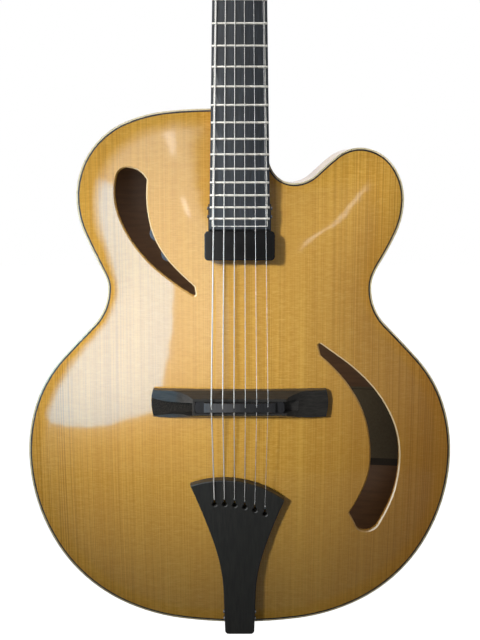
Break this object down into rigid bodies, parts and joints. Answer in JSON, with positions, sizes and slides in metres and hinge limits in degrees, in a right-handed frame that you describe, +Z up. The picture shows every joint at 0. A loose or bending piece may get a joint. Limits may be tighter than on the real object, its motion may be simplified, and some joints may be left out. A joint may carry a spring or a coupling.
{
  "type": "archtop guitar",
  "caption": "Hollow archtop guitar with a rounded cutaway, carved top with asymmetric sound holes, floating pickup, wooden bridge and tailpiece, and geared tuners that turn.",
  "frame": {"origin": "centre of the mouth of the end pin jack at the tail", "axes": "+Z up the neck along the middle line, face towards -Y, treble side and cutaway towards +X"},
  "size_m": [0.4354, 0.1374, 1.0829],
  "materials": {
    "spruce_top": "gloss",
    "figured_maple": "gloss",
    "maple_binding": "gloss",
    "black_purfling": "gloss",
    "inner_wood": "matte",
    "paper": "matte",
    "ebony": "satin",
    "white_inlay": "satin",
    "fret_wire": "polished",
    "steel": "satin",
    "nickel": "polished",
    "brass_bracket": "satin",
    "black_cover": "gloss",
    "pickup_metal": "satin",
    "coil": "matte",
    "circuit_board": "matte",
    "button": "gloss",
    "wound_string": "satin",
    "plain_string": "polished"
  },
  "bodies": {
    "body": {"back_binding": "maple_binding", "back_lining": "inner_wood", "back_plate": "figured_maple", "bridge_base": "ebony", "bridge_saddle": "ebony", "control_board": "circuit_board", "control_pots": "black_cover", "end_pin_jack": "nickel", "fingerboard": "ebony", "fingerboard_inlay": "white_inlay", "frets": "fret_wire", "headstock_overlay": "ebony", "headstock_screws": "steel", "heel_cap": "ebony", "jack_nut": "steel", "label": "paper", "neck": "figured_maple", "neck_block": "inner_wood", "nut": "white_inlay", "pickup_base": "pickup_metal", "pickup_coils": "coil", "pickup_cover": "black_cover", "pickup_screws": "steel", "rim_bass": "figured_maple", "rim_treble": "figured_maple", "strap_button": "nickel", "string_1": "plain_string", "string_2": "plain_string", "string_3": "wound_string", "string_4": "wound_string", "string_5": "wound_string", "string_6": "wound_string", "tail_block": "inner_wood", "tail_bracket": "brass_bracket", "tailpiece": "ebony", "tailpiece_screws": "steel", "tone_bars": "inner_wood", "top_binding": "maple_binding", "top_lining": "inner_wood", "top_plate": "spruce_top", "top_purfling": "black_purfling", "truss_rod": "steel", "truss_rod_cover": "ebony", "tuner_bushings": "nickel", "tuner_housings": "nickel"},
    "string_post_1": {"string_post_1": "nickel"},
    "string_post_2": {"string_post_2": "nickel"},
    "string_post_3": {"string_post_3": "nickel"},
    "string_post_4": {"string_post_4": "nickel"},
    "string_post_5": {"string_post_5": "nickel"},
    "string_post_6": {"string_post_6": "nickel"},
    "tuner_button_1": {"tuner_button_1": "button"},
    "tuner_button_2": {"tuner_button_2": "button"},
    "tuner_button_3": {"tuner_button_3": "button"},
    "tuner_button_4": {"tuner_button_4": "button"},
    "tuner_button_5": {"tuner_button_5": "button"},
    "tuner_button_6": {"tuner_button_6": "button"},
    "volume_wheel": {"volume_wheel": "black_cover"},
    "tone_wheel": {"tone_wheel": "black_cover"},
    "truss_rod_nut": {"truss_rod_nut": "steel"}
  },
  "joints": [
    {"name": "tuner_button_6_turn", "type": "hinge", "parent": "body", "child": "tuner_button_6", "pos_m": [-0.0204, 0.00882, 0.96287], "axis": [-1, 0, 0], "continuous": true},
    {"name": "string_post_6_turn", "type": "hinge", "parent": "body", "child": "string_post_6", "pos_m": [-0.0204, -0.01115, 0.96079], "axis": [0, -0.9568, 0.2907], "continuous": true},
    {"name": "tuner_button_5_turn", "type": "hinge", "parent": "body", "child": "tuner_button_5", "pos_m": [-0.01674, 0.02045, 1.00114], "axis": [-1, 0, 0], "continuous": true},
    {"name": "string_post_5_turn", "type": "hinge", "parent": "body", "child": "string_post_5", "pos_m": [-0.01674, 0.00048, 0.99906], "axis": [0, -0.9568, 0.2907], "continuous": true},
    {"name": "tuner_button_4_turn", "type": "hinge", "parent": "body", "child": "tuner_button_4", "pos_m": [-0.01307, 0.03207, 1.03941], "axis": [-1, 0, 0], "continuous": true},
    {"name": "string_post_4_turn", "type": "hinge", "parent": "body", "child": "string_post_4", "pos_m": [-0.01307, 0.0121, 1.03733], "axis": [0, -0.9568, 0.2907], "continuous": true},
    {"name": "tuner_button_3_turn", "type": "hinge", "parent": "body", "child": "tuner_button_3", "pos_m": [0.01307, 0.03207, 1.03941], "axis": [1, 0, 0], "continuous": true},
    {"name": "string_post_3_turn", "type": "hinge", "parent": "body", "child": "string_post_3", "pos_m": [0.01307, 0.0121, 1.03733], "axis": [0, -0.9568, 0.2907], "continuous": true},
    {"name": "tuner_button_2_turn", "type": "hinge", "parent": "body", "child": "tuner_button_2", "pos_m": [0.01674, 0.02045, 1.00114], "axis": [1, 0, 0], "continuous": true},
    {"name": "string_post_2_turn", "type": "hinge", "parent": "body", "child": "string_post_2", "pos_m": [0.01674, 0.00048, 0.99906], "axis": [0, -0.9568, 0.2907], "continuous": true},
    {"name": "tuner_button_1_turn", "type": "hinge", "parent": "body", "child": "tuner_button_1", "pos_m": [0.0204, 0.00882, 0.96287], "axis": [1, 0, 0], "continuous": true},
    {"name": "string_post_1_turn", "type": "hinge", "parent": "body", "child": "string_post_1", "pos_m": [0.0204, -0.01115, 0.96079], "axis": [0, -0.9568, 0.2907], "continuous": true},
    {"name": "volume_wheel_turn", "type": "hinge", "parent": "body", "child": "volume_wheel", "pos_m": [-0.0811, -0.0362, 0.4315], "axis": [0, -1, 0], "range_deg": [-150, 150]},
    {"name": "tone_wheel_turn", "type": "hinge", "parent": "body", "child": "tone_wheel", "pos_m": [-0.07, -0.0362, 0.4115], "axis": [0, -1, 0], "range_deg": [-150, 150]},
    {"name": "truss_rod_nut_turn", "type": "hinge", "parent": "body", "child": "truss_rod_nut", "pos_m": [0, -0.01769, 0.92132], "axis": [0, 0.068, 0.9977], "range_deg": [-180, 180]}
  ],
  "couplings": [
    {"joint": "string_post_6_turn", "follows": "tuner_button_6_turn", "ratio": 0.0625},
    {"joint": "string_post_5_turn", "follows": "tuner_button_5_turn", "ratio": 0.0625},
    {"joint": "string_post_4_turn", "follows": "tuner_button_4_turn", "ratio": 0.0625},
    {"joint": "string_post_3_turn", "follows": "tuner_button_3_turn", "ratio": 0.0625},
    {"joint": "string_post_2_turn", "follows": "tuner_button_2_turn", "ratio": 0.0625},
    {"joint": "string_post_1_turn", "follows": "tuner_button_1_turn", "ratio": 0.0625}
  ]
}
